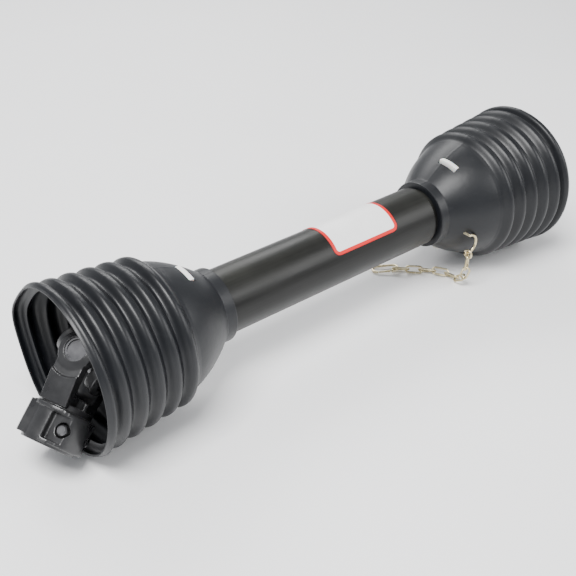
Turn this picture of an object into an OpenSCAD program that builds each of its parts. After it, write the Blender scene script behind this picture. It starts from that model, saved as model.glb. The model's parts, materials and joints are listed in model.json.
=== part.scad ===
// Power take-off drive shaft: two universal joints on telescoping profile tubes,
// inside a telescoping plastic guard with a ribbed cone at each end.
// X runs along the shaft from the near end to the far end, Z is up, and the
// origin is on the shaft's axis, halfway between the mouths of the two cones.

/* [Guard] */
// Length from one cone's mouth to the other with the shaft pushed together
guard_length = 672; // [640:1:760]
// Outer diameter of a cone at its rim
rim_d = 180; // [176:1:190]
// Outer diameter of the outer guard tube
guard_tube_d = 72; // [70:0.5:76]
// Number of ribs behind the rim of each cone
rib_count = 5; // [3:1:5]
// Wall thickness of the cones
cone_wall = 2.6; // [2:0.1:3.2]

/* [Universal joints] */
// Length of a cross over its bearing cups
cross_span = 61.3; // [60:0.1:62]
// Diameter of a bearing cup
cup_d = 23.8; // [23:0.1:24.5]
// Distance of a joint's centre inside the mouth of its cone
joint_depth = 34; // [34:1:45]
// Angle of the forks about the shaft's axis
fork_phase = -160; // [-180:1:180]
// Bend of the near joint at rest
near_bend = 42; // [0:1:42]
// Bend of the far joint at rest
far_bend = 42; // [0:1:42]

/* [End yokes] */
// Distance from a joint's centre to the end face of its end yoke
yoke_reach = 92; // [86:1:100]
// Major diameter of the six-spline bore
spline_major_d = 35; // [34.9:0.05:35.2]
// Minor diameter of the six-spline bore
spline_minor_d = 30; // [29.8:0.05:30.2]
// Angle of the push pin's collar about the yoke's axis
collar_phase = 176; // [-180:1:180]

/* [Profile tubes] */
// Overlap of the two profile tubes with the shaft pushed together
tube_overlap = 300; // [200:5:320]

/* [Hidden] */
$fn = 72;

eps = 0.01;
fit_gap = 0.05;      // radial play of a running fit

// Cone, measured from its mouth along the shaft
mouth_r = rim_d / 2 - 6;
first_rib = 22;
rib_pitch = 20;
rib_depth = 7;
rib_taper = 10;                                   // fall of the crest radius over the ribs
rib_end = first_rib + rib_pitch * (rib_count - 1) + rib_pitch / 2;
dome_start_r = 72;
neck_r = 41;
neck_start = 170;
neck_end = 183;
dome_bulge = 4;

// Guard tubes
guard_tube_wall = 2.4;
inner_guard_r = guard_tube_d / 2 - guard_tube_wall - 0.6;
inner_guard_wall = 2.2;
neck_gap = 6;                                     // outer tube's lip to the far cone's neck
guard_overlap = 277;

// Bearing rings and their tabs, measured from the joint's centre
ring_x = 108;
ring_width = 9.4;
groove_width = 10;
groove_r = 30;
groove_start = ring_x - groove_width / 2;
ring_outer_r = 54;
tab_angles = [98, 278];
tab_width = 26;
tab_thickness = 6;
tab_reach = 61;
slot_play = 0.05;
slot_gap = 2.5;                                   // open part of a slot on the tube side

joint_x = guard_length / 2 - joint_depth;

// Forks
ear_r = 19.5;
ear_inner = 20.5;
ear_outer = 34;
crotch_x = 40;
fork_base_x = 53;
fork_waist = 28;                                  // half width across the arms at the base
fork_height = 30;
ear_bevel = 3.2;
ear_flat_r = 12.5;

// Crosses
cross_hub_r = 14;
cross_arm_r = 9.8;
cross_arm_end = 14.4;
trunnion_r = 7.3;
trunnion_end = cross_span / 2 - 2.4;
needle_d = 2.4;
cup_r = cup_d / 2;
cup_inner_r = trunnion_r + needle_d + 0.1;
cup_floor = 2.2;
cup_start = 16;
snap_ring_wire = 1.4;
snap_ring_r = cup_r + 1;

// Tube yokes and profile tubes, measured from the joint's centre
hub_r = 30.5;
shoulder_r = 34;
shoulder_width = 4;
hub_end = 122;
socket_start = 80;
tube_r = 22.5;
tube_lobe_x = 20;
tube_wall = 3.1;
profile_play = 0.5;
inner_bore_r = 15;
outer_lobe_r = 6;
inner_tube_r = tube_r - tube_wall - profile_play;
inner_lobe_r = outer_lobe_r - tube_wall;
profile_end = joint_x + tube_overlap / 2;
roll_pin_r = 5;
roll_pin_x = 88;

// End yoke collar and push pin
collar_start = 56;
collar_r = 27;
collar_block = [48, -27, 35];                    // depth, and reach to each side of the bore
collar_trim_r = 33;
collar_lip = 4;
pin_x = 73;
pin_r = 5.5;
pin_offset = spline_minor_d / 2 + pin_r + 0.1;
pin_button_y = -22;
pin_shoulder_y = 4;
pin_tail_y = 19;
pin_tail_r = 3;
pin_waist_r = 3.2;
recess_floor_y = -20;
recess = [26, 29];                                // along and across the yoke
pocket_floor_y = -13;
pocket_r = 7.5;
spring_bore_r = 7;
spring_wire_r = 0.6;
spring_turns = 5;
cap_start = 17;
cap_r = 8.5;
spline_count = 6;
spline_width = 8.8;

// Resting directions of the end yokes: the clock angle is seen along the shaft
near_clock = -112;
far_clock = -112;
near_swing = swing_of(near_bend, near_clock);
near_tilt = tilt_of(near_bend, near_clock);
far_swing = swing_of(far_bend, far_clock);
far_tilt = tilt_of(far_bend, far_clock);

// Blank label
label_x = [-10, 87];
label_angles = [28, 152];
label_thickness = 0.25;

// Chain: the hook's hole in the far cone, and the links' centres
chain_wire_r = 1.3;
link_inner = 18;
link_inner_w = 5.6;
hook_wire_r = 1.6;
hook_r = 12;
hook_shank = 15;
hook_place = [183, -60, -14];
hook_hole_r = 2.6;
ring_r = 5;
chain_route = [
    [183, -60, -44], [182.5, -60, -52], [184, -57.5, -68.5], [186.5, -48, -81],
    [188.5, -34, -85], [184, -18.5, -84.5], [174.5, -4.5, -85.5], [163, 7.5, -85.5],
    [150.5, 19, -85]
];
snap_place = [137.5, 33.5, -86.5];
snap_heading = 140;
snap_pitch = 6;
snap_length = 32;
snap_width = 14;
snap_wire_r = 1.6;

// Clock angle of a bend, split into turns about the two trunnion axes
function swing_of(bend, clock) = -asin(sin(bend) * cos(clock - fork_phase));
function tilt_of(bend, clock) =
    asin(sin(bend) * sin(clock - fork_phase) / cos(swing_of(bend, clock)));

// Outer radius of a cone at a distance from its mouth
function crest_r(s) = rim_d / 2 - rib_taper * s / rib_end;
function ribbed_r(s) = crest_r(s) - rib_depth * (1 - cos(360 * (s - first_rib) / rib_pitch)) / 2;
function dome_r(s) =
    let (t = (s - rib_end - 2) / (neck_start - rib_end - 2))
    dome_start_r + (neck_r - dome_start_r) * t + 4 * dome_bulge * t * (1 - t);
function rim_profile_r(s) = rim_d / 2 - 5 + 5 * sin(180 * s / (first_rib - rib_pitch / 2));
rib_points = [for (s = [first_rib - rib_pitch / 2 : rib_pitch / 10 : rib_end]) [ribbed_r(s), s]];
dome_points = [for (i = [0 : 8])
    let (s = rib_end + 2 + (neck_start - rib_end - 2) * i / 8) [dome_r(s), s]];
rim_points = [for (s = [1.5 : 1.5 : 10.5]) [rim_profile_r(s), s]];
shell_points = concat(rim_points, rib_points, dome_points);

// The near half is modelled from its joint's centre with +X towards the middle
module near_half() {
    translate([-joint_x, 0, 0]) children();
}

module far_half() {
    translate([joint_x, 0, 0]) mirror([1, 0, 0]) children();
}

module cross_frame(tilt) {
    rotate([fork_phase, 0, 0]) rotate([0, tilt, 0]) children();
}

module end_frame(tilt, swing) {
    cross_frame(tilt) rotate([0, 0, swing]) children();
}

// Revolves an outline of [radius, x] about the X axis
module turned() {
    rotate([0, 90, 0]) rotate_extrude() children();
}

module rod(r, x0, x1) {
    translate([x0, 0, 0]) rotate([0, 90, 0]) cylinder(r = r, h = x1 - x0);
}

module pipe(r_out, r_in, x0, x1) {
    difference() {
        rod(r_out, x0, x1);
        rod(r_in, x0 - 1, x1 + 1);
    }
}

module both_ways() {
    children();
    mirror([0, 1, 0]) children();
}

// ---- Guard ----

module cone_shell(tube_r_inside) {
    inner = [for (i = [len(shell_points) - 1 : -1 : 0])
        [shell_points[i][0] - cone_wall, shell_points[i][1]]];
    outline = concat(
        [[mouth_r, 0], [mouth_r + 2, 0]],
        shell_points,
        [[neck_r, neck_end - 1], [neck_r - 1, neck_end], [tube_r_inside, neck_end],
         [tube_r_inside, neck_start - 2], [neck_r - cone_wall, neck_start - 3]],
        [for (p = inner) if (p[1] > 4 && p[1] < neck_start - 4) p]
    );
    difference() {
        translate([-joint_depth, 0, 0]) turned() polygon(outline);
        for (a = tab_angles)
            rotate([a, 0, 0])
                translate([ring_x - tab_thickness / 2 - slot_play, 40, -tab_width / 2 - slot_play])
                    cube([tab_thickness + slot_play + slot_gap, 40, tab_width + 2 * slot_play]);
    }
}

module bearing_ring() {
    x0 = ring_x - ring_width / 2;
    x1 = ring_x + ring_width / 2;
    difference() {
        union() {
            pipe(ring_outer_r, groove_r + 0.08, ring_x - 3.5, ring_x + 3.5);
            pipe(groove_r + 5, groove_r + 0.08, x0, x1);
            intersection() {
                for (a = tab_angles)
                    rotate([a, 0, 0])
                        translate([ring_x - tab_thickness / 2, ring_outer_r - 5, -tab_width / 2])
                            cube([tab_thickness, 20, tab_width]);
                rod(tab_reach, x0, x1);
            }
        }
        for (a = [0 : 30 : 330])
            rotate([a + 8, 0, 0]) translate([0, 42, 0]) rod(3, x0 - 1, x1 + 1);
    }
}

module outer_guard_tube() {
    color("#1c1d1e")
        pipe(guard_tube_d / 2, guard_tube_d / 2 - guard_tube_wall,
             -guard_length / 2 + neck_start - 7, guard_length / 2 - neck_end - neck_gap);
}

module inner_guard_tube() {
    color("#1a1b1c")
        pipe(inner_guard_r, inner_guard_r - inner_guard_wall,
             guard_length / 2 - neck_end - neck_gap - guard_overlap,
             guard_length / 2 - neck_start + 7);
}

module near_guard_cone() {
    color("#191b20") near_half() cone_shell(guard_tube_d / 2 + fit_gap);
}

module far_guard_cone() {
    color("#191b20") difference() {
        far_half() cone_shell(inner_guard_r + fit_gap);
        translate([hook_place[0], 0, hook_place[2]]) rotate([90, 0, 0])
            cylinder(r = hook_hole_r, h = 80);
    }
}

module near_bearing_ring() {
    color("#f2f2ee") near_half() bearing_ring();
}

module far_bearing_ring() {
    color("#f2f2ee") far_half() bearing_ring();
}

module guard_label() {
    r0 = guard_tube_d / 2 + 0.02;
    color("#f4f4f2")
        translate([label_x[0], 0, 0]) rotate([label_angles[0], 0, 0]) rotate([90, 0, 90])
            rotate_extrude(angle = label_angles[1] - label_angles[0])
                translate([r0, 0]) square([label_thickness, label_x[1] - label_x[0]]);
}

// ---- Chain ----

// A wire bent to an arc about Z, starting on the X axis
module wire_arc(bend_r, wire_r, angle) {
    rotate_extrude(angle = angle) translate([bend_r, 0]) circle(r = wire_r, $fn = 24);
}

// A closed loop with straight sides along X
module wire_loop(inner_length, inner_width, wire_r) {
    bend_r = inner_width / 2 + wire_r;
    straight = inner_length - inner_width;
    for (side = [0, 180])
        rotate([0, 0, side]) {
            translate([straight / 2, 0, 0]) rotate([0, 0, -90]) wire_arc(bend_r, wire_r, 180);
            translate([-straight / 2, bend_r, 0]) rotate([0, 90, 0])
                cylinder(r = wire_r, h = straight, $fn = 24);
        }
}

module chain_hook() {
    color("#c9b878") translate(hook_place) {
        rotate([-90, 0, 0]) cylinder(r = hook_wire_r, h = hook_shank, $fn = 24);
        translate([0, hook_shank - 1, 0]) rotate([-90, 0, 0]) cylinder(r = 4.4, h = 2);
        sphere(r = hook_wire_r + 0.01, $fn = 24);
        translate([0, 0, -hook_r]) rotate([90, 0, 0]) rotate([0, 0, -125])
            wire_arc(hook_r, hook_wire_r, 215);
    }
}

module chain_ring() {
    color("#c9b878") translate([hook_place[0], hook_place[1], hook_place[2] - 2 * hook_r
        + hook_wire_r + chain_wire_r + 0.2 - ring_r]) rotate([0, 90, 0])
        wire_arc(ring_r, chain_wire_r, 360);
}

module chain_links() {
    color("#c9b878") for (i = [1 : len(chain_route) - 1]) {
        step = chain_route[min(i + 1, len(chain_route) - 1)] - chain_route[i - 1];
        heading = atan2(step[1], step[0]);
        pitch_down = atan2(-step[2], norm([step[0], step[1]]));
        translate(chain_route[i]) rotate([0, pitch_down, heading])
            rotate([i % 2 == 0 ? 45 : -45, 0, 0])
                wire_loop(link_inner, link_inner_w, chain_wire_r);
    }
}

module snap_frame() {
    translate(snap_place) rotate([0, snap_pitch, snap_heading]) children();
}

// An open wire loop whose missing side is closed by the gate
module snap_hook() {
    bend_r = snap_width / 2;
    straight = snap_length - snap_width;
    color("#c9b878") snap_frame() {
        translate([straight / 2, 0, 0]) rotate([0, 0, -90]) wire_arc(bend_r, snap_wire_r, 180);
        translate([-straight / 2, 0, 0]) rotate([0, 0, 90]) wire_arc(bend_r, snap_wire_r, 180);
        translate([-straight / 2, -bend_r, 0]) rotate([0, 90, 0])
            cylinder(r = snap_wire_r, h = straight, $fn = 24);
        translate([-straight / 2, bend_r, 0]) sphere(r = snap_wire_r + 0.4, $fn = 24);
        translate([-straight / 2, bend_r, -snap_wire_r - 0.7])
            cylinder(r = 1, h = 2 * snap_wire_r + 1.4, $fn = 24);
    }
}

module snap_gate() {
    bend_r = snap_width / 2;
    straight = snap_length - snap_width;
    color("#b9aa70") snap_frame()
        translate([-straight / 2 + snap_wire_r + 0.9, bend_r, 0]) rotate([0, 90, 0])
            cylinder(r = snap_wire_r - 0.3, h = straight - 2 * snap_wire_r + 0.2, $fn = 24);
}

// ---- Universal joints ----

// A fork with its trunnion bores along Y and its base towards +X
module fork() {
    difference() {
        intersection() {
            translate([0, 0, -ear_r - 1]) linear_extrude(2 * ear_r + 2) difference() {
                polygon([[-ear_r - 1, -ear_outer], [ear_r, -ear_outer], [fork_base_x, -fork_waist],
                         [fork_base_x, fork_waist], [ear_r, ear_outer], [-ear_r - 1, ear_outer]]);
                union() {
                    translate([-ear_r - 2, -ear_inner])
                        square([crotch_x - 10 + ear_r + 2, 2 * ear_inner]);
                    translate([-ear_r - 2, -ear_inner + 10])
                        square([crotch_x + ear_r + 2, 2 * ear_inner - 20]);
                    for (y = [-1, 1]) translate([crotch_x - 10, y * (ear_inner - 10)]) circle(r = 10);
                }
            }
            rotate([90, 0, 0]) translate([0, 0, -ear_outer - 1]) linear_extrude(2 * ear_outer + 2)
                union() {
                    circle(r = ear_r);
                    translate([0, -fork_height / 2]) square([fork_base_x, fork_height]);
                }
        }
        both_ways() rotate([-90, 0, 0]) rotate_extrude()
            polygon([[ear_flat_r, ear_outer + eps], [ear_r + 1, ear_outer - ear_bevel],
                     [ear_r + 8, ear_outer - ear_bevel], [ear_r + 8, ear_outer + 1],
                     [ear_flat_r, ear_outer + 1]]);
        rotate([-90, 0, 0]) translate([0, 0, -ear_outer - 2])
            cylinder(r = cup_r + eps, h = 2 * ear_outer + 4);
        both_ways() translate([0, cross_span / 2 + 0.1, 0]) rotate([-90, 0, 0])
            cylinder(r = snap_ring_r + 0.1, h = snap_ring_wire + 0.1);
    }
}

module cross() {
    difference() {
        union() {
            sphere(r = cross_hub_r);
            for (a = [0, 90]) rotate([a, 0, 0]) {
                rotate([-90, 0, 0]) translate([0, 0, -cross_arm_end])
                    cylinder(r = cross_arm_r, h = 2 * cross_arm_end);
                rotate([-90, 0, 0]) translate([0, 0, -trunnion_end])
                    cylinder(r = trunnion_r, h = 2 * trunnion_end);
            }
        }
        for (a = [0, 90]) rotate([a, 0, 0]) rotate([-90, 0, 0])
            translate([0, 0, -trunnion_end - 1]) cylinder(r = 2, h = 2 * trunnion_end + 2);
        rotate([0, -90, 0]) cylinder(r = 2.5, h = cross_hub_r + 1);
    }
}

module cross_seals() {
    for (a = [0, 90]) rotate([a, 0, 0]) both_ways()
        translate([0, cross_arm_end + 0.05, 0]) rotate([-90, 0, 0]) difference() {
            cylinder(r = cross_arm_r, h = 1.1);
            translate([0, 0, -1]) cylinder(r = trunnion_r + 0.02, h = 4);
        }
}

module grease_nipple() {
    rotate([0, -90, 0]) {
        translate([0, 0, cross_hub_r - 5]) cylinder(r = 2.5, h = 6);
        translate([0, 0, cross_hub_r + 0.5]) cylinder(r = 4, h = 3, $fn = 6);
        translate([0, 0, cross_hub_r + 3]) cylinder(r = 2.2, h = 4);
        translate([0, 0, cross_hub_r + 7.5]) sphere(r = 2.6);
    }
}

module bearing_cups() {
    both_ways() rotate([-90, 0, 0]) difference() {
        translate([0, 0, cup_start]) cylinder(r = cup_r, h = cross_span / 2 - cup_start);
        translate([0, 0, cup_start - 1])
            cylinder(r = cup_inner_r, h = cross_span / 2 - cup_floor - cup_start + 1);
    }
}

module needle_rows() {
    both_ways() rotate([-90, 0, 0]) translate([0, 0, cup_start + 0.4]) difference() {
        cylinder(r = cup_inner_r - 0.02, h = trunnion_end - cup_start - 0.6);
        translate([0, 0, -1]) cylinder(r = trunnion_r + fit_gap, h = trunnion_end);
    }
}

module snap_rings() {
    both_ways() translate([0, cross_span / 2 + 0.15, 0]) rotate([-90, 0, 0]) rotate([0, 0, 120])
        rotate_extrude(angle = 300) translate([snap_ring_r - 3, 0]) square([3, snap_ring_wire]);
}

// ---- Tube side ----

// Section across a profile tube: a round tube with a rounded ridge on each side
module profile(r, lobe_r) {
    circle(r = r);
    for (side = [-1, 1]) translate([0, side * tube_lobe_x]) circle(r = lobe_r);
}

module profile_bar(r, lobe_r, x0, x1) {
    translate([x0, 0, 0]) rotate([90, 0, 90]) linear_extrude(x1 - x0) profile(r, lobe_r);
}

module tube_yoke(r, lobe_r) {
    fork();
    difference() {
        union() {
            rod(hub_r, crotch_x + 9, groove_start - 1);
            rod(shoulder_r, groove_start - shoulder_width, groove_start);
            rod(groove_r, groove_start - 1, groove_start + groove_width + 1);
            rod(shoulder_r, groove_start + groove_width, hub_end);
        }
        profile_bar(r + eps, lobe_r + eps, socket_start, hub_end + 1);
        rod(12, crotch_x, socket_start + 1);
        roll_pin_hole();
    }
}

module roll_pin_hole() {
    translate([roll_pin_x, 0, 0]) rotate([90, 0, 0])
        cylinder(r = roll_pin_r + eps, h = 2 * hub_r + 2, center = true);
}

// A profile tube less its bore, which is the child
module profile_tube(r, lobe_r) {
    difference() {
        profile_bar(r, lobe_r, socket_start + 0.2, profile_end);
        children();
        roll_pin_hole();
    }
}

// Slotted spring pin driven across the hub and the tube
module roll_pin() {
    translate([roll_pin_x, hub_r - 1, 0]) rotate([90, 0, 0])
        rotate_extrude(angle = 330) translate([roll_pin_r - 1.6, 0]) square([1.6, 2 * hub_r - 2]);
}

// ---- End yoke ----

module splined_bore() {
    rod(spline_minor_d / 2, crotch_x - 1, yoke_reach + 1);
    intersection() {
        rod(spline_major_d / 2, crotch_x - 1, yoke_reach + 1);
        for (a = [0 : 360 / spline_count : 359]) rotate([a, 0, 0])
            translate([crotch_x - 2, 0, -spline_width / 2])
                cube([yoke_reach - crotch_x + 4, spline_major_d, spline_width]);
    }
}

module collar_frame() {
    rotate([collar_phase, 0, 0]) mirror([0, 1, 0]) children();
}

// Stands the children, drawn along Z, on the push pin's axis
module at_pin() {
    collar_frame() translate([pin_x, 0, pin_offset]) rotate([-90, 0, 0]) children();
}

module end_yoke() {
    difference() {
        union() {
            fork();
            rod(collar_r, crotch_x + 9, yoke_reach);
            collar_frame() {
                intersection() {
                    translate([collar_start, -collar_block[0] / 2, collar_block[1]])
                        cube([yoke_reach - collar_start - 3, collar_block[0],
                              collar_block[2] - collar_block[1]]);
                    rod(collar_trim_r, collar_start - 1, yoke_reach + 1);
                }
                rod(collar_r + 2.5, collar_start - 1, collar_start - 1 + collar_lip);
            }
        }
        splined_bore();
        translate([yoke_reach + eps, 0, 0]) mirror([1, 0, 0]) rotate([0, 90, 0])
            cylinder(r1 = spline_major_d / 2 + 1.5, r2 = spline_major_d / 2 - 2, h = 3.5);
        at_pin() {
            translate([0, 0, -40]) cylinder(r = pin_r + fit_gap, h = 60);
            translate([0, 0, -40]) cylinder(r = pocket_r, h = 40 + pocket_floor_y);
            translate([0, 0, pin_shoulder_y + 1]) cylinder(r = spring_bore_r, h = 30);
            translate([0, 0, cap_start]) cylinder(r = cap_r + eps, h = 20);
        }
        collar_frame() translate([pin_x - recess[0] / 2, -40, pin_offset - recess[1] / 2])
            cube([recess[0], 40 + recess_floor_y, recess[1]]);
    }
}

module push_pin() {
    at_pin() rotate_extrude() polygon([
        [0, pin_button_y], [pin_r - 1.5, pin_button_y], [pin_r, pin_button_y + 1.5],
        [pin_r, -12], [pin_waist_r, -10], [pin_waist_r, -5], [pin_r, -3],
        [pin_r, pin_shoulder_y], [pin_tail_r, pin_shoulder_y], [pin_tail_r, pin_tail_y],
        [0, pin_tail_y]
    ]);
}

module pin_cap() {
    at_pin() difference() {
        translate([0, 0, cap_start + 0.02]) cylinder(r = cap_r, h = 2);
        translate([0, 0, cap_start - 1]) cylinder(r = pin_tail_r + 0.35, h = 6);
    }
}

// A closed tube swept round a helix, from the pin's shoulder to the cap
module pin_spring() {
    steps = 12 * spring_turns;
    sides = 6;
    mean_r = (pin_tail_r + spring_bore_r) / 2;
    z0 = pin_shoulder_y + spring_wire_r + 0.3;
    rise = cap_start - pin_shoulder_y - 2 * spring_wire_r - 0.6;
    points = [for (i = [0 : steps], j = [0 : sides - 1])
        let (a = 30 * i, b = 360 * j / sides, r = mean_r + spring_wire_r * cos(b))
        [r * cos(a), r * sin(a), z0 + rise * i / steps + spring_wire_r * sin(b)]];
    faces = concat(
        [[for (j = [0 : sides - 1]) j]],
        [for (i = [0 : steps - 1], j = [0 : sides - 1])
            let (k = (j + 1) % sides)
            [i * sides + j, (i + 1) * sides + j, (i + 1) * sides + k, i * sides + k]],
        [[for (j = [sides - 1 : -1 : 0]) steps * sides + j]]
    );
    at_pin() polyhedron(points, faces);
}

// Turns the tube side's pieces to sit on the end yoke's side of the cross
module end_side() {
    rotate([90, 0, 0]) mirror([1, 0, 0]) children();
}

// ---- Near joint ----

module near_tube_yoke() {
    color("#2b2c2e") near_half() cross_frame(0) tube_yoke(tube_r, outer_lobe_r);
}

module outer_profile_tube() {
    color("#44464a") near_half() cross_frame(0)
        profile_tube(tube_r, outer_lobe_r)
            profile_bar(tube_r - tube_wall, outer_lobe_r - tube_wall + profile_play,
                        socket_start - 1, profile_end + 1);
}

module near_roll_pin() {
    color("#8d8f92") near_half() cross_frame(0) roll_pin();
}

module near_tube_cups() {
    color("#b4b6b8") near_half() cross_frame(0) bearing_cups();
}

module near_tube_needles() {
    color("#c8cacc") near_half() cross_frame(0) needle_rows();
}

module near_tube_snap_rings() {
    color("#6f7174") near_half() cross_frame(0) snap_rings();
}

module near_cross() {
    color("#7d7f83") near_half() cross_frame(near_tilt) cross();
}

module near_cross_seals() {
    color("#141414") near_half() cross_frame(near_tilt) cross_seals();
}

module near_grease_nipple() {
    color("#c9b878") near_half() cross_frame(near_tilt) grease_nipple();
}

module near_end_yoke() {
    color("#2b2c2e") near_half() end_frame(near_tilt, near_swing) end_side() end_yoke();
}

module near_end_cups() {
    color("#b4b6b8") near_half() end_frame(near_tilt, near_swing) end_side() bearing_cups();
}

module near_end_needles() {
    color("#c8cacc") near_half() end_frame(near_tilt, near_swing) end_side() needle_rows();
}

module near_end_snap_rings() {
    color("#6f7174") near_half() end_frame(near_tilt, near_swing) end_side() snap_rings();
}

module near_push_pin() {
    color("#a6a8ab") near_half() end_frame(near_tilt, near_swing) end_side() push_pin();
}

module near_pin_spring() {
    color("#8d8f92") near_half() end_frame(near_tilt, near_swing) end_side() pin_spring();
}

module near_pin_cap() {
    color("#8d8f92") near_half() end_frame(near_tilt, near_swing) end_side() pin_cap();
}

// ---- Far joint ----

module far_tube_yoke() {
    color("#2b2c2e") far_half() cross_frame(0) tube_yoke(inner_tube_r, inner_lobe_r);
}

module inner_profile_tube() {
    color("#44464a") far_half() cross_frame(0)
        profile_tube(inner_tube_r, inner_lobe_r)
            rod(inner_bore_r, socket_start - 1, profile_end + 1);
}

module far_roll_pin() {
    color("#8d8f92") far_half() cross_frame(0) roll_pin();
}

module far_tube_cups() {
    color("#b4b6b8") far_half() cross_frame(0) bearing_cups();
}

module far_tube_needles() {
    color("#c8cacc") far_half() cross_frame(0) needle_rows();
}

module far_tube_snap_rings() {
    color("#6f7174") far_half() cross_frame(0) snap_rings();
}

module far_cross() {
    color("#7d7f83") far_half() cross_frame(far_tilt) cross();
}

module far_cross_seals() {
    color("#141414") far_half() cross_frame(far_tilt) cross_seals();
}

module far_grease_nipple() {
    color("#c9b878") far_half() cross_frame(far_tilt) grease_nipple();
}

module far_end_yoke() {
    color("#2b2c2e") far_half() end_frame(far_tilt, far_swing) end_side() end_yoke();
}

module far_end_cups() {
    color("#b4b6b8") far_half() end_frame(far_tilt, far_swing) end_side() bearing_cups();
}

module far_end_needles() {
    color("#c8cacc") far_half() end_frame(far_tilt, far_swing) end_side() needle_rows();
}

module far_end_snap_rings() {
    color("#6f7174") far_half() end_frame(far_tilt, far_swing) end_side() snap_rings();
}

module far_push_pin() {
    color("#a6a8ab") far_half() end_frame(far_tilt, far_swing) end_side() push_pin();
}

module far_pin_spring() {
    color("#8d8f92") far_half() end_frame(far_tilt, far_swing) end_side() pin_spring();
}

module far_pin_cap() {
    color("#8d8f92") far_half() end_frame(far_tilt, far_swing) end_side() pin_cap();
}

outer_guard_tube();
near_guard_cone();
near_bearing_ring();
guard_label();
inner_guard_tube();
far_guard_cone();
far_bearing_ring();
chain_hook();
chain_ring();
chain_links();
snap_hook();
snap_gate();
near_tube_yoke();
outer_profile_tube();
near_roll_pin();
near_tube_cups();
near_tube_needles();
near_tube_snap_rings();
near_cross();
near_cross_seals();
near_grease_nipple();
near_end_yoke();
near_end_cups();
near_end_needles();
near_end_snap_rings();
near_push_pin();
near_pin_spring();
near_pin_cap();
far_tube_yoke();
inner_profile_tube();
far_roll_pin();
far_tube_cups();
far_tube_needles();
far_tube_snap_rings();
far_cross();
far_cross_seals();
far_grease_nipple();
far_end_yoke();
far_end_cups();
far_end_needles();
far_end_snap_rings();
far_push_pin();
far_pin_spring();
far_pin_cap();
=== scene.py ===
import json
import math

import bmesh
import bpy
import numpy as np
from mathutils import Matrix, Vector, noise


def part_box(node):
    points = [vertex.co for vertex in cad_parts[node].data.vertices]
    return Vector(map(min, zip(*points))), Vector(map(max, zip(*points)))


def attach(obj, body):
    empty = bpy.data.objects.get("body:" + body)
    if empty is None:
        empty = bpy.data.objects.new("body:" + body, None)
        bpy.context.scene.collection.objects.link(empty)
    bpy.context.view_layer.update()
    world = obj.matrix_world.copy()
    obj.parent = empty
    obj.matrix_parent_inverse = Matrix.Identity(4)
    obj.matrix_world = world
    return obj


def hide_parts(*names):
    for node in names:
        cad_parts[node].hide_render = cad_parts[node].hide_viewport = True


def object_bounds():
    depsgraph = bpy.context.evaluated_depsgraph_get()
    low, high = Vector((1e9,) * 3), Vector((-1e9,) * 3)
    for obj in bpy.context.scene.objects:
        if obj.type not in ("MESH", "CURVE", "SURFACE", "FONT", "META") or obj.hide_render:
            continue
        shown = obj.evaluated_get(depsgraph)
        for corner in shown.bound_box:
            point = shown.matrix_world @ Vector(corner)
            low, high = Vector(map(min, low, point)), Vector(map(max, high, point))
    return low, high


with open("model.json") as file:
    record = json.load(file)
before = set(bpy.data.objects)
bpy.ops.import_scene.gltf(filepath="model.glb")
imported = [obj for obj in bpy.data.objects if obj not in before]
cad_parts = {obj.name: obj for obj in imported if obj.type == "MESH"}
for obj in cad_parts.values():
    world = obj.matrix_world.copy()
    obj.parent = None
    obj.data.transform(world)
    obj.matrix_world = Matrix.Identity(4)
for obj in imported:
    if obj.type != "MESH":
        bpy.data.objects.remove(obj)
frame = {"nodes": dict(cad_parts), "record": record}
cad_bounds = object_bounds()

MM = 0.001


# ---- Sizes taken from the frame ----

def low(node):
    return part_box(node)[0]


def high(node):
    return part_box(node)[1]


mouth_x = high("far_guard_cone").x
neck_x = low("far_guard_cone").x
cone_length = mouth_x - neck_x
rim_r = high("far_guard_cone").z
outer_tube_r = high("outer_guard_tube").z
inner_tube_r = high("inner_guard_tube").z
near_tube_start = low("outer_guard_tube").x
outer_tube_end = high("outer_guard_tube").x
slot_s = mouth_x - (low("far_bearing_ring").x + high("far_bearing_ring").x) / 2
label_start, label_end = low("guard_label").x, high("guard_label").x
label_half_width = outer_tube_r * math.radians(62)
label_corner = 8 * MM

# Cone outline, measured from the mouth
rib_count = 5
rib_pitch = 20 * MM
first_rib = 22 * MM
rib_depth = 7 * MM
rib_taper = 10 * MM
groove_sharpness = 1.4
rim_flare = 5 * MM
rim_roundness = 0.8
rim_blend = 3 * MM
rib_end = first_rib + rib_pitch * (rib_count - 0.5)
rim_end = first_rib - rib_pitch / 2
dome_start = rib_end + 2 * MM
neck_start = cone_length - 13 * MM
dome_r = 72 * MM
neck_r = 41 * MM
dome_bulge = 4 * MM
wall = 2.6 * MM
slot_width = 26 * MM
slot_length = 8.5 * MM
slot_angles = (98, 278)
slot_lead = 3.1 * MM
slot_play = 0.2 * MM
outline_step = 1 * MM
cone_segments = 288

# How the soft plastic of the cones has given way, and the mould's parting line
flex_reach = 110 * MM
near_flex = 1.6 * MM
far_flex = 1.2 * MM
pull_reach = 60 * MM
pull_angle = 0.2
pull_spread = 0.3
near_pull = 7 * MM
seam_height = 0.25 * MM
seam_width = 0.8 * MM

# Tubes
outer_tube_wall = 2.4 * MM
inner_tube_wall = 2.2 * MM
tube_edge = 0.5 * MM
tube_lip_reach = 12 * MM
tube_lip_wave = 0.5 * MM
fit_gap = 0.05 * MM

# Chain links
link_twist_deg = 6
weld_place = 0.26
weld_spread = 0.012
weld_swell = 0.16
wire_wear = 0.02

# Cell size and smoothing passes that round off the forgings and the bent wires
forging_cell, forging_passes = 0.7 * MM, 4
wire_cell, wire_passes = 0.25 * MM, 3


def smoothstep(t):
    t = min(max(t, 0.0), 1.0)
    return t * t * (3 - 2 * t)


# ---- Nodes and materials ----

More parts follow.
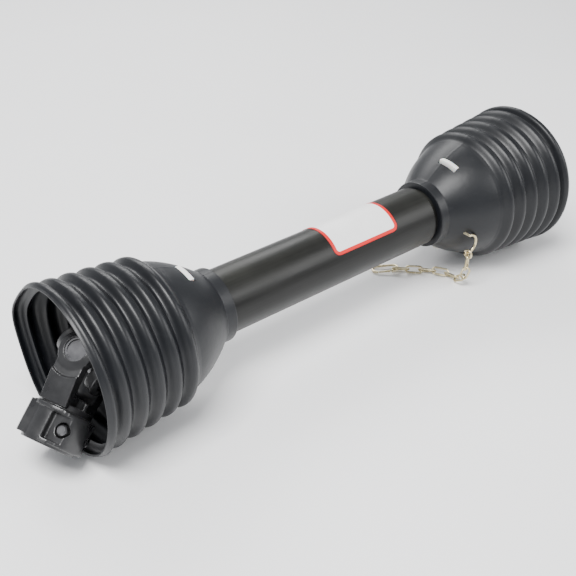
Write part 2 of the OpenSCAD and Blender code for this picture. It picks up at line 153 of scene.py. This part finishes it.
class Shader:
    """A material under construction: add() makes a node, and named inputs take numbers or links."""

    def __init__(self, name):
        self.material = bpy.data.materials.new(name)
        self.material.use_nodes = True
        self.tree = self.material.node_tree
        self.bsdf = self.tree.nodes["Principled BSDF"]

    def add(self, kind, inputs=None, **settings):
        node = self.tree.nodes.new(kind)
        for key, value in settings.items():
            setattr(node, key, value)
        self.set(node, inputs or {})
        return node

    def set(self, node, inputs):
        for key, value in inputs.items():
            socket = node.inputs[key]
            if isinstance(value, bpy.types.NodeSocket):
                self.tree.links.new(value, socket)
            else:
                socket.default_value = value

    def math(self, operation, *values, clamp=False):
        node = self.add("ShaderNodeMath", dict(enumerate(values)), operation=operation, use_clamp=clamp)
        return node.outputs[0]

    def places(self, scale=(1, 1, 1)):
        """Object coordinates in metres, stretched by a scale."""
        source = self.add("ShaderNodeTexCoord").outputs["Object"]
        return self.add("ShaderNodeMapping", {"Vector": source, "Scale": scale}).outputs[0]

    def noise(self, scale, detail=3.0, roughness=0.5, stretch=(1, 1, 1)):
        node = self.add("ShaderNodeTexNoise", {
            "Vector": self.places(stretch), "Scale": scale, "Detail": detail, "Roughness": roughness})
        return node.outputs["Fac"]

    def ramp(self, factor, *stops):
        """A colour ramp; each stop is (place, colour)."""
        node = self.add("ShaderNodeValToRGB", {"Fac": factor})
        elements = node.color_ramp.elements
        while len(elements) < len(stops):
            elements.new(1.0)
        for element, (place, colour) in zip(elements, stops):
            element.position = place
            element.color = (*colour, 1)
        return node.outputs["Color"]

    def spread(self, factor, out_low, out_high, in_low=0.3, in_high=0.7):
        node = self.add("ShaderNodeMapRange", {
            "Value": factor, "From Min": in_low, "From Max": in_high,
            "To Min": out_low, "To Max": out_high})
        return node.outputs["Result"]

    def mix(self, factor, first, second):
        """Two colours mixed; inputs 6 and 7 are the node's colour sockets."""
        node = self.add("ShaderNodeMix", data_type="RGBA")
        for index, value in ((0, factor), (6, first), (7, second)):
            socket = node.inputs[index]
            if isinstance(value, bpy.types.NodeSocket):
                self.tree.links.new(value, socket)
            else:
                socket.default_value = (*value, 1) if isinstance(value, tuple) else value
        return node.outputs[2]

    def bump(self, height, distance, strength=1.0, below=None):
        inputs = {"Height": height, "Distance": distance, "Strength": strength}
        if below is not None:
            inputs["Normal"] = below
        return self.add("ShaderNodeBump", inputs).outputs[0]

    def edges(self, in_low=0.52, in_high=0.6):
        """1 on convex edges and 0 on flats."""
        pointiness = self.add("ShaderNodeNewGeometry").outputs["Pointiness"]
        return self.spread(pointiness, 0.0, 1.0, in_low, in_high)

    def upward(self):
        """1 on surfaces that face up and 0 elsewhere."""
        normal = self.add("ShaderNodeNewGeometry").outputs["Normal"]
        z = self.add("ShaderNodeSeparateXYZ", {"Vector": normal}).outputs["Z"]
        return self.spread(z, 0.0, 1.0, 0.4, 1.0)

    def rounded(self, radius):
        """A normal that rounds sharp edges a little."""
        return self.add("ShaderNodeBevel", {"Radius": radius}, samples=4).outputs[0]

    def finish(self, **inputs):
        self.set(self.bsdf, {key.replace("_", " "): value for key, value in inputs.items()})
        return self.material


def cone_plastic():
    s = Shader("cone_plastic")
    cloud = s.noise(14, 4)
    grain = s.noise(900, 2)
    scuffs = s.noise(60, 6, 0.7, (1, 1, 4))
    scuffed = s.spread(scuffs, 0.0, 1.0, 0.6, 0.78)
    colour = s.ramp(cloud, (0.3, (0.003, 0.0035, 0.005)), (0.7, (0.006, 0.007, 0.009)))
    colour = s.mix(s.math("MULTIPLY", scuffed, 0.25), colour, (0.035, 0.037, 0.042))
    # Painted top light and dust: surfaces that face up are made lighter in patches, standing in for light
    # falling from above as well as for dust
    dust_and_top_light = s.math("MULTIPLY", s.upward(), s.spread(cloud, 0.0, 0.1))
    colour = s.mix(dust_and_top_light, colour, (0.06, 0.06, 0.058))
    rough = s.math("ADD", s.spread(cloud, 0.34, 0.46), s.math("MULTIPLY", scuffed, 0.16))
    normal = s.bump(s.noise(45, 3), 0.0012, 0.35)
    normal = s.bump(grain, 0.0001, 0.35, normal)
    return s.finish(
        Base_Color=colour, Roughness=rough, Normal=normal, IOR=1.5, Specular_IOR_Level=0.4)


def tube_plastic():
    s = Shader("tube_plastic")
    drawn = s.noise(6, 3, 0.6, (1.5, 60, 60))
    fine = s.noise(20, 2, 0.5, (1, 60, 60))
    cloud = s.noise(20, 4)
    colour = s.ramp(drawn, (0.3, (0.004, 0.004, 0.0035)), (0.7, (0.008, 0.008, 0.007)))
    # Painted top light and dust: surfaces that face up are made lighter in patches, standing in for light
    # falling from above as well as for dust
    dust_and_top_light = s.math("MULTIPLY", s.upward(), s.spread(cloud, 0.02, 0.14))
    colour = s.mix(dust_and_top_light, colour, (0.07, 0.072, 0.055))
    rough = s.math("ADD", s.spread(drawn, 0.3, 0.38), s.spread(cloud, 0.0, 0.08))
    normal = s.bump(drawn, 0.0002, 0.4)
    normal = s.bump(fine, 0.00005, 0.35, normal)
    return s.finish(
        Base_Color=colour, Roughness=rough, Normal=normal, IOR=1.49, Specular_IOR_Level=0.32)


def white_nylon():
    s = Shader("white_nylon")
    cloud = s.noise(80, 3)
    colour = s.ramp(cloud, (0.3, (0.74, 0.74, 0.70)), (0.7, (0.86, 0.86, 0.83)))
    normal = s.bump(s.noise(700, 2), 0.0001, 0.4, s.rounded(0.5 * MM))
    return s.finish(
        Base_Color=colour, Roughness=s.spread(cloud, 0.38, 0.5), Normal=normal,
        Subsurface_Weight=0.15, Subsurface_Scale=0.004)


def label_film():
    """White film with a rounded red border, drawn from the sheet's own coordinates in metres."""
    s = Shader("label_film")
    band, blur = 4.2 * MM, 0.15 * MM
    uv = s.add("ShaderNodeSeparateXYZ", {"Vector": s.add("ShaderNodeUVMap", uv_map="sheet").outputs[0]})
    half_length, half_width = (label_end - label_start) / 2, label_half_width
    along = s.math("SUBTRACT", s.math("ABSOLUTE", uv.outputs["X"]), half_length - label_corner)
    across = s.math("SUBTRACT", s.math("ABSOLUTE", uv.outputs["Y"]), half_width - label_corner)
    a, b = s.math("MAXIMUM", along, 0.0), s.math("MAXIMUM", across, 0.0)
    reach = s.math("SQRT", s.math("ADD", s.math("MULTIPLY", a, a), s.math("MULTIPLY", b, b)))
    inside = s.math("MINIMUM", s.math("MAXIMUM", along, across), 0.0)
    distance = s.math("SUBTRACT", s.math("ADD", reach, inside), label_corner)
    border = s.spread(distance, 0.0, 1.0, -band - blur, -band + blur)
    cloud = s.noise(35, 4)
    white = s.ramp(cloud, (0.3, (0.86, 0.86, 0.85)), (0.7, (0.93, 0.93, 0.92)))
    red = s.ramp(cloud, (0.3, (0.60, 0.008, 0.008)), (0.7, (0.70, 0.012, 0.011)))
    normal = s.bump(s.noise(120, 2), 0.0001, 0.3)
    return s.finish(
        Base_Color=s.mix(border, white, red), Roughness=s.spread(cloud, 0.4, 0.5),
        Normal=normal, Specular_IOR_Level=0.3)


def black_steel():
    """Black paint over a forging, rubbed through along its edges."""
    s = Shader("black_steel")
    cloud = s.noise(40, 5, 0.6)
    scale = s.noise(260, 4, 0.6)
    paint = s.ramp(cloud, (0.3, (0.012, 0.012, 0.013)), (0.7, (0.026, 0.026, 0.027)))
    bare = s.ramp(scale, (0.3, (0.16, 0.16, 0.165)), (0.7, (0.34, 0.34, 0.35)))
    worn = s.math("MULTIPLY", s.edges(0.53, 0.6), s.spread(s.noise(90, 5, 0.7), 0.0, 1.0, 0.45, 0.62))
    worn = s.math("MULTIPLY", worn, 0.55)
    normal = s.bump(scale, 0.0004, 0.35)
    return s.finish(
        Base_Color=s.mix(worn, paint, bare), Metallic=s.math("MULTIPLY", worn, 0.9),
        Roughness=s.spread(cloud, 0.24, 0.42), Normal=normal, IOR=1.5, Coat_Weight=0.25,
        Coat_Roughness=0.2)


def bright_steel():
    s = Shader("bright_steel")
    cloud = s.noise(60, 4)
    turned = s.noise(500, 3, 0.6, (1, 1, 0.2))
    colour = s.ramp(cloud, (0.3, (0.10, 0.10, 0.105)), (0.7, (0.20, 0.20, 0.205)))
    film = s.spread(s.noise(25, 3), 0.0, 0.5, 0.5, 0.7)
    colour = s.mix(film, colour, (0.05, 0.047, 0.042))
    normal = s.bump(turned, 0.00005, 0.4, s.rounded(0.4 * MM))
    return s.finish(
        Base_Color=colour, Metallic=1.0, Roughness=s.spread(cloud, 0.32, 0.46), Normal=normal)


def seal_rubber():
    s = Shader("seal_rubber")
    cloud = s.noise(150, 3)
    colour = s.ramp(cloud, (0.3, (0.012, 0.012, 0.012)), (0.7, (0.028, 0.028, 0.028)))
    normal = s.bump(s.noise(900, 2), 0.0001, 0.4)
    return s.finish(Base_Color=colour, Roughness=s.spread(cloud, 0.6, 0.75), Normal=normal)


def yellow_zinc():
    s = Shader("yellow_zinc")
    cloud = s.noise(90, 4, 0.6)
    tint = s.noise(40, 2)
    colour = s.ramp(
        cloud, (0.3, (0.50, 0.42, 0.24)), (0.55, (0.72, 0.64, 0.42)), (0.75, (0.80, 0.74, 0.56)))
    colour = s.mix(s.spread(tint, 0.0, 0.35, 0.5, 0.75), colour, (0.55, 0.36, 0.26))
    normal = s.bump(s.noise(600, 3), 0.00008, 0.4)
    return s.finish(
        Base_Color=colour, Metallic=1.0, Roughness=s.spread(cloud, 0.22, 0.38), Normal=normal)


def studio_floor():
    s = Shader("studio_floor")
    colour = s.ramp(s.noise(3, 2), (0.3, (0.93, 0.93, 0.93)), (0.7, (0.95, 0.95, 0.95)))
    return s.finish(Base_Color=colour, Roughness=0.7, Specular_IOR_Level=0.2)


# ---- Meshes ----

def piece(name, verts, faces, body, slot, replaces=(), sharp=35):
    """A new mesh object, dressed and put on its body."""
    mesh = bpy.data.meshes.new(name)
    mesh.from_pydata(verts, [], faces)
    mesh.update()
    obj = bpy.data.objects.new(name, mesh)
    bpy.context.scene.collection.objects.link(obj)
    dress(obj, body, slot, replaces, sharp)
    return obj


def dress(obj, body, slot, replaces=(), sharp=35):
    """Gives a piece its material, smooth shading, body and the CAD nodes that it stands for."""
    obj.data.materials.clear()
    obj.data.materials.append(materials[slot])
    smooth(obj.data, sharp)
    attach(obj, body)
    if replaces:
        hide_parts(*replaces)


def smooth(mesh, angle):
    mesh.shade_smooth()
    mesh.set_sharp_from_angle(angle=math.radians(angle))


def revolve(outline, segments):
    """A closed solid turned about X; the outline is a closed list of (x, radius)."""
    verts, faces = [], []
    count = len(outline)
    for i in range(segments):
        a = 2 * math.pi * i / segments
        verts += [(x, r * math.cos(a), r * math.sin(a)) for x, r in outline]
    for i in range(segments):
        here, there = i * count, (i + 1) % segments * count
        for j in range(count):
            k = (j + 1) % count
            faces.append((here + j, here + k, there + k, there + j))
    return verts, faces


def outward(mesh):
    bm = bmesh.new()
    bm.from_mesh(mesh)
    bmesh.ops.recalc_face_normals(bm, faces=bm.faces)
    bm.to_mesh(mesh)
    bm.free()


def apply_modifiers(obj):
    graph = bpy.context.evaluated_depsgraph_get()
    mesh = bpy.data.meshes.new_from_object(obj.evaluated_get(graph))
    obj.modifiers.clear()
    obj.data = mesh


def sweep(path, radius_at, sides, closed):
    """A tube along a path in space, with a radius at each share of its length."""
    points = [Vector(p) for p in path]
    count = len(points)
    verts, faces = [], []
    normal = None
    for i, p in enumerate(points):
        after = points[(i + 1) % count] if closed or i < count - 1 else p
        before = points[i - 1] if closed or i > 0 else p
        tangent = (after - before).normalized()
        if normal is None:
            normal = tangent.orthogonal().normalized()
        normal = (normal - tangent * normal.dot(tangent)).normalized()
        side = tangent.cross(normal)
        r = radius_at(i / count)
        for j in range(sides):
            b = 2 * math.pi * j / sides
            verts.append(p + (normal * math.cos(b) + side * math.sin(b)) * r)
    rings = count if closed else count - 1
    for i in range(rings):
        for j in range(sides):
            k = (j + 1) % sides
            here, there = i * sides, (i + 1) % count * sides
            faces.append((here + j, here + k, there + k, there + j))
    if not closed:
        faces.append(tuple(reversed(range(sides))))
        faces.append(tuple(range((count - 1) * sides, count * sides)))
    return verts, faces


# ---- Guard ----

def cone_radius(s):
    """Outer radius of a cone at a distance from its mouth."""
    crest = rim_r - rib_taper * s / rib_end
    wave = (1 - math.cos(2 * math.pi * (s - first_rib) / rib_pitch)) / 2
    ribbed = crest - rib_depth * wave ** groove_sharpness
    rim = rim_r - rim_flare + rim_flare * math.sin(math.pi * min(s / rim_end, 1)) ** rim_roundness
    t = (s - dome_start) / (neck_start - dome_start)
    dome = dome_r + (neck_r - dome_r) * t + 4 * dome_bulge * t * (1 - t)
    if s < rim_end:
        return rim + (ribbed - rim) * smoothstep((s - rim_end + rim_blend) / rim_blend)
    if s < rib_end:
        return ribbed
    if s < dome_start:
        return ribbed + (dome_r - ribbed) * (s - rib_end) / (dome_start - rib_end)
    return dome if s < neck_start else neck_r


def cone_outline(bore_r):
    """The cone's closed outline: outside, neck, inside, and the rolled lip at its mouth."""
    steps = int(cone_length / outline_step)
    distances = [cone_length * i / steps for i in range(steps + 1)]
    neck_lip = 1.5 * MM
    outer = [(s, cone_radius(s)) for s in distances if 2 * MM < s < cone_length - neck_lip]
    end = [(cone_length - neck_lip, neck_r), (cone_length - 0.4 * MM, neck_r - 0.4 * MM),
           (cone_length, neck_r - neck_lip), (cone_length, bore_r), (neck_start - 3 * MM, bore_r)]
    inner = [(s, cone_radius(s) - wall) for s in reversed(distances) if 3 * MM < s < neck_start - 4 * MM]
    lip_r = cone_radius(2 * MM)
    lip = [(1.2 * MM, lip_r - wall + 0.2 * MM), (0.4 * MM, lip_r - wall + 0.5 * MM),
           (0, lip_r - wall / 2 - 0.3 * MM), (0.2 * MM, lip_r - 0.6 * MM), (1 * MM, lip_r - 0.2 * MM)]
    return outer + end + inner + lip


def slot_cutter(name):
    """One block for each slot that a bearing ring's tab stands in."""
    depth, middle_r = 40 * MM, 62 * MM
    bm = bmesh.new()
    for angle in slot_angles:
        made = bmesh.ops.create_cube(bm, size=1.0)["verts"]
        size = Matrix.Diagonal((slot_length, depth, slot_width + slot_play, 1))
        place = Matrix.Translation((slot_s + slot_length / 2 - slot_lead, middle_r, 0))
        turn = Matrix.Rotation(math.radians(angle), 4, "X")
        bmesh.ops.transform(bm, matrix=turn @ place @ size, verts=made)
    mesh = bpy.data.meshes.new(name)
    bm.to_mesh(mesh)
    bm.free()
    cutter = bpy.data.objects.new(name, mesh)
    bpy.context.scene.collection.objects.link(cutter)
    return cutter


def guard_cone(name, side, bore_r, body, node, flex, pull):
    """A cone at its place, with its rim pulled out at one point; side is -1 near and 1 far."""
    verts, faces = revolve(cone_outline(bore_r), cone_segments)
    obj = piece(name, verts, faces, body, "cone_plastic", [node])
    outward(obj.data)
    cutter = slot_cutter(name + "_cutter")
    cut = obj.modifiers.new("slots", "BOOLEAN")
    cut.operation, cut.solver, cut.object = "DIFFERENCE", "EXACT", cutter
    apply_modifiers(obj)
    bpy.data.objects.remove(cutter)
    for v in obj.data.vertices:
        s, around = v.co.x, math.atan2(v.co.z, v.co.y)
        r = math.hypot(v.co.y, v.co.z)
        soft = 1 - smoothstep(s / flex_reach)
        where = Vector((math.cos(around), math.sin(around), side * 3.0))
        give = soft * flex * (noise.noise(where) - 0.2)
        at_pull = math.exp(-((around - pull_angle) / pull_spread) ** 2)
        give += pull * (1 - smoothstep(s / pull_reach)) * at_pull
        seam = seam_height * math.exp(-((math.cos(around) * r) / seam_width) ** 2)
        scale = (r + give + seam * (r > cone_radius(s) - wall / 2)) / r
        v.co = (side * (mouth_x - s), v.co.y * scale, v.co.z * scale)
    outward(obj.data)
    smooth(obj.data, 40)


def guard_tube(name, r, thickness, x0, x1, body, node, wave):
    """A tube with rounded ends, whose lip at x1 waves a little."""
    edge, count = tube_edge, 60
    outer = [(x0 + edge + (x1 - x0 - 2 * edge) * i / count, r) for i in range(count + 1)]
    inner = [(x, r - thickness) for x, _ in reversed(outer)]
    ends = [(x1, r - edge), (x1, r - thickness + edge)]
    starts = [(x0, r - thickness + edge), (x0, r - edge)]
    verts, faces = revolve(outer + ends + inner + starts, 192)
    obj = piece(name, verts, faces, body, "tube_plastic", [node])
    for v in obj.data.vertices:
        near_lip = smoothstep((v.co.x - x1 + tube_lip_reach) / tube_lip_reach)
        around = math.atan2(v.co.z, v.co.y)
        v.co.x += wave * near_lip * math.sin(3 * around + 1)
    outward(obj.data)


def guard_label():
    """A thin sheet on the upper side of the tube, with its own flat coordinates for the border."""
    r = outer_tube_r + 0.22 * MM
    columns, rows = 96, 72
    middle, half_length = (label_start + label_end) / 2, (label_end - label_start) / 2
    flat = []
    for i in range(columns + 1):
        for j in range(rows + 1):
            across = label_half_width * (2 * j / rows - 1)
            past = max(abs(across) - label_half_width + label_corner, 0)
            trimmed = half_length - label_corner + math.sqrt(max(label_corner ** 2 - past ** 2, 0))
            flat.append((trimmed * (2 * i / columns - 1), across))
    verts, faces = [], []
    for along, across in flat:
        a = math.pi / 2 + across / outer_tube_r
        lift = 0.06 * MM * noise.noise(Vector((along * 60, across * 60, 0)))
        verts.append((middle + along, (r + lift) * math.cos(a), (r + lift) * math.sin(a)))
    for i in range(columns):
        for j in range(rows):
            k = i * (rows + 1) + j
            faces.append((k, k + rows + 1, k + rows + 2, k + 1))
    obj = piece("guard_label_film", verts, faces, "near_guard", "label_film", ["guard_label"], 60)
    layer = obj.data.uv_layers.new(name="sheet")
    for loop in obj.data.loops:
        layer.data[loop.index].uv = flat[loop.vertex_index]
    solid = obj.modifiers.new("thickness", "SOLIDIFY")
    solid.thickness, solid.offset = 0.2 * MM, -1
    apply_modifiers(obj)
    outward(obj.data)


# ---- Metal pieces ----

def forged(node, body, slot, voxel, passes):
    """A copy of a CAD node whose sharp edges are rounded off, as on a forging."""
    source = frame["nodes"][node]
    obj = bpy.data.objects.new(node + "_forged", source.data.copy())
    bpy.context.scene.collection.objects.link(obj)
    remesh = obj.modifiers.new("remesh", "REMESH")
    remesh.mode, remesh.voxel_size = "VOXEL", voxel
    soften = obj.modifiers.new("soften", "SMOOTH")
    soften.factor, soften.iterations = 0.5, passes
    apply_modifiers(obj)
    dress(obj, body, slot, [node], 60)


def islands(mesh):
    """The separate solids in a mesh, each as a list of its points."""
    bm = bmesh.new()
    bm.from_mesh(mesh)
    bmesh.ops.remove_doubles(bm, verts=bm.verts, dist=1e-6)
    found, seen = [], set()
    for start in bm.verts:
        if start in seen:
            continue
        group, stack = [], [start]
        seen.add(start)
        while stack:
            v = stack.pop()
            group.append(v.co.copy())
            for e in v.link_edges:
                other = e.other_vert(v)
                if other not in seen:
                    seen.add(other)
                    stack.append(other)
        found.append(group)
    bm.free()
    return found


def wire_loop(length, width):
    """Points round a loop with straight sides and round ends, along the wire's middle."""
    bend, straight = width / 2, length - width
    steps = 24
    path = []
    for end in (1, -1):
        for i in range(steps + 1):
            a = math.pi * i / steps - math.pi / 2
            path.append(Vector((end * (straight / 2 + bend * math.cos(a)), end * bend * math.sin(a), 0)))
    return path


def axes_of(points):
    """Middle of a solid, and its length, width and thickness directions, from its spread."""
    co = np.array([tuple(p) for p in points])
    middle = co.mean(0)
    spread = np.linalg.svd(co - middle, full_matrices=False)[2]
    along = (co - middle) @ spread.T
    size = along.max(0) - along.min(0)
    middle = middle + ((along.max(0) + along.min(0)) / 2) @ spread
    rotation = Matrix([spread[0], spread[1], spread[2]]).transposed()
    if rotation.determinant() < 0:
        rotation.col[2] = -rotation.col[2]
    return Vector(middle), rotation, size


def chain_links():
    """Each link is a bent wire with a weld in one side, twisted a little along its length."""
    for index, points in enumerate(islands(frame["nodes"]["chain_links"].data)):
        middle, rotation, size = axes_of(points)
        wire = size[2] / 2
        path = []
        for p in wire_loop(size[0] - 2 * wire, size[1] - 2 * wire):
            twist = Matrix.Rotation(math.radians(link_twist_deg) * p.x / size[0] * 2, 3, "X")
            path.append(middle + rotation @ (twist @ p))

        def radius_at(share):
            at_weld = math.exp(-((share - weld_place) / weld_spread) ** 2)
            return wire * (1 + weld_swell * at_weld - wire_wear)

        verts, faces = sweep(path, radius_at, 14, True)
        obj = piece(f"chain_link_{index + 1}", verts, faces, "far_guard", "yellow_zinc")
        outward(obj.data)
        if index == 0:
            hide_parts("chain_links")


# ---- Camera, lights and floor ----

camera_place = (-0.6503, -0.7132, 0.5760)
camera_azimuth, camera_elevation = math.radians(-39.968), math.radians(32.691)
camera_lens, camera_sensor = 61.875, 36
floor_reach, floor_steps, floor_gap = 6, 12, 0.2 * MM
world_colour, world_strength = (0.80, 0.82, 0.86, 1), 0.62


def camera():
    level = math.cos(camera_elevation)
    back = Vector((math.sin(camera_azimuth) * level, -math.cos(camera_azimuth) * level,
                   math.sin(camera_elevation)))
    data = bpy.data.cameras.new("camera")
    data.sensor_width, data.lens = camera_sensor, camera_lens
    data.clip_start, data.clip_end = 0.05, 50
    obj = bpy.data.objects.new("camera", data)
    obj.location = camera_place
    obj.rotation_euler = back.to_track_quat("Z", "Y").to_euler()
    bpy.context.scene.collection.objects.link(obj)
    bpy.context.scene.camera = obj


def area_light(name, place, size, power):
    """A white panel that faces the middle of the shaft."""
    data = bpy.data.lights.new(name, "AREA")
    data.shape, data.size, data.size_y = "RECTANGLE", size[0], size[1]
    data.energy = power
    obj = bpy.data.objects.new(name, data)
    obj.location = place
    obj.rotation_euler = Vector(place).to_track_quat("Z", "Y").to_euler()
    bpy.context.scene.collection.objects.link(obj)


def studio():
    floor_z = cad_bounds[0][2] - floor_gap
    side = floor_steps + 1
    marks = [floor_reach * (2 * i / floor_steps - 1) for i in range(side)]
    verts = [(x, y, floor_z) for x in marks for y in marks]
    faces = [(i * side + j, (i + 1) * side + j, (i + 1) * side + j + 1, i * side + j + 1)
             for i in range(floor_steps) for j in range(floor_steps)]
    mesh = bpy.data.meshes.new("floor")
    mesh.from_pydata(verts, [], faces)
    mesh.materials.append(materials["studio_floor"])
    floor = bpy.data.objects.new("floor", mesh)
    bpy.context.scene.collection.objects.link(floor)
    world = bpy.data.worlds.new("studio")
    world.use_nodes = True
    background = world.node_tree.nodes["Background"]
    background.inputs["Color"].default_value = world_colour
    background.inputs["Strength"].default_value = world_strength
    bpy.context.scene.world = world
    area_light("key", (-0.9, -0.4, 1.9), (1.2, 0.9), 80)
    area_light("fill", (1.3, -1.5, 1.2), (1.4, 1.0), 30)
    area_light("back", (0.5, 1.6, 1.3), (1.8, 0.8), 34)


materials = {
    "cone_plastic": cone_plastic(), "tube_plastic": tube_plastic(), "white_nylon": white_nylon(),
    "label_film": label_film(), "black_steel": black_steel(), "bright_steel": bright_steel(),
    "seal_rubber": seal_rubber(), "yellow_zinc": yellow_zinc(), "studio_floor": studio_floor()}

for part in frame["record"]["subparts"]:
    mesh = frame["nodes"][part["node"]].data
    mesh.materials.clear()
    mesh.materials.append(materials[part["material_slot"]])

camera()
studio()
guard_cone("near_cone", -1, outer_tube_r + fit_gap, "near_guard", "near_guard_cone",
           near_flex, near_pull)
guard_cone("far_cone", 1, inner_tube_r + fit_gap, "far_guard", "far_guard_cone",
           far_flex, 0)
guard_tube("outer_tube", outer_tube_r, outer_tube_wall, near_tube_start, outer_tube_end,
           "near_guard", "outer_guard_tube", tube_lip_wave)
guard_tube("inner_tube", inner_tube_r, inner_tube_wall, low("inner_guard_tube").x, high("inner_guard_tube").x,
           "far_guard", "inner_guard_tube", 0)
guard_label()
chain_links()
for end in ("near", "far"):
    forged(f"{end}_end_yoke", f"{end}_yoke", "black_steel", forging_cell, forging_passes)
    forged(f"{end}_tube_yoke", f"{end}_shaft", "black_steel", forging_cell, forging_passes)
for node in ("chain_hook", "snap_hook"):
    forged(node, "far_guard", "yellow_zinc", wire_cell, wire_passes)
